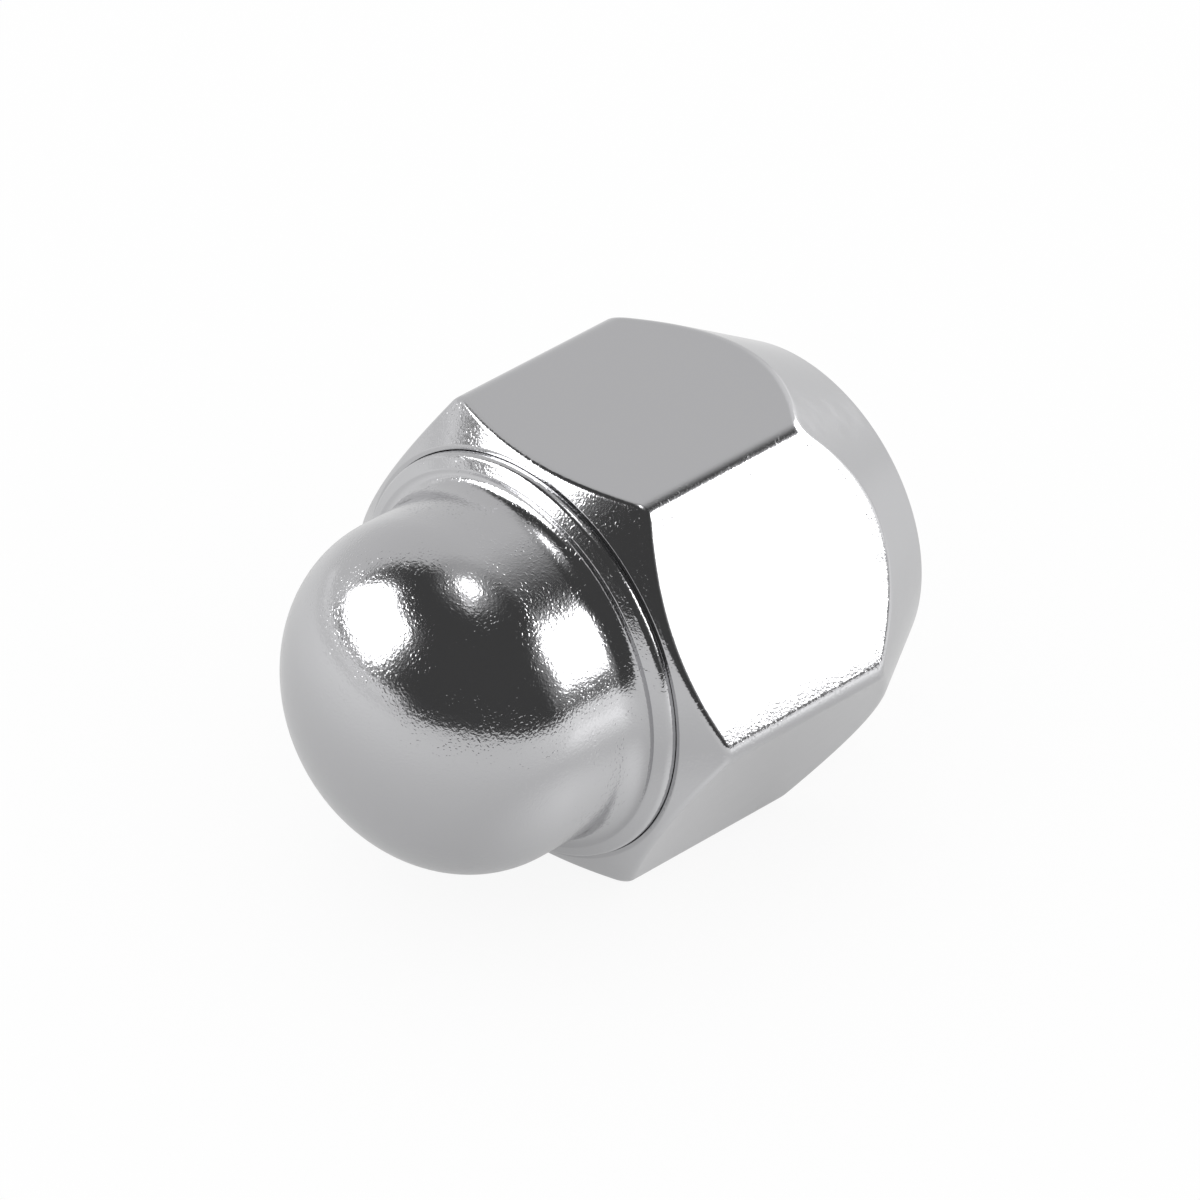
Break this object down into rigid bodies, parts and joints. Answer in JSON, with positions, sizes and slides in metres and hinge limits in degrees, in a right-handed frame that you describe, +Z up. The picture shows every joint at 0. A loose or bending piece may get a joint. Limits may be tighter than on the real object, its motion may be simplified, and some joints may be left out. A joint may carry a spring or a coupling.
{
  "type": "lug nut",
  "caption": "Closed-end wheel nut: hexagonal body with a conical seat and a fine thread, closed by a pressed dome cap, chrome plated.",
  "frame": {"origin": "middle of the bounding box's underside, on the hexagon flat that the nut lies on", "axes": "+Z up, out of the top flat. The thread's axis runs along Y, 9.5 mm up: +Y points out of the seat end, where the stud enters, and the dome points towards -Y, the front."},
  "size_m": [0.0216, 0.0262, 0.019],
  "materials": {
    "body_plating": "bright plating over forged steel, slightly orange-peeled",
    "cap_plating": "bright plating over pressed sheet steel, smooth"
  },
  "bodies": {
    "root": {"nut_body": "body_plating", "dome_cap": "cap_plating"}
  },
  "joints": []
}
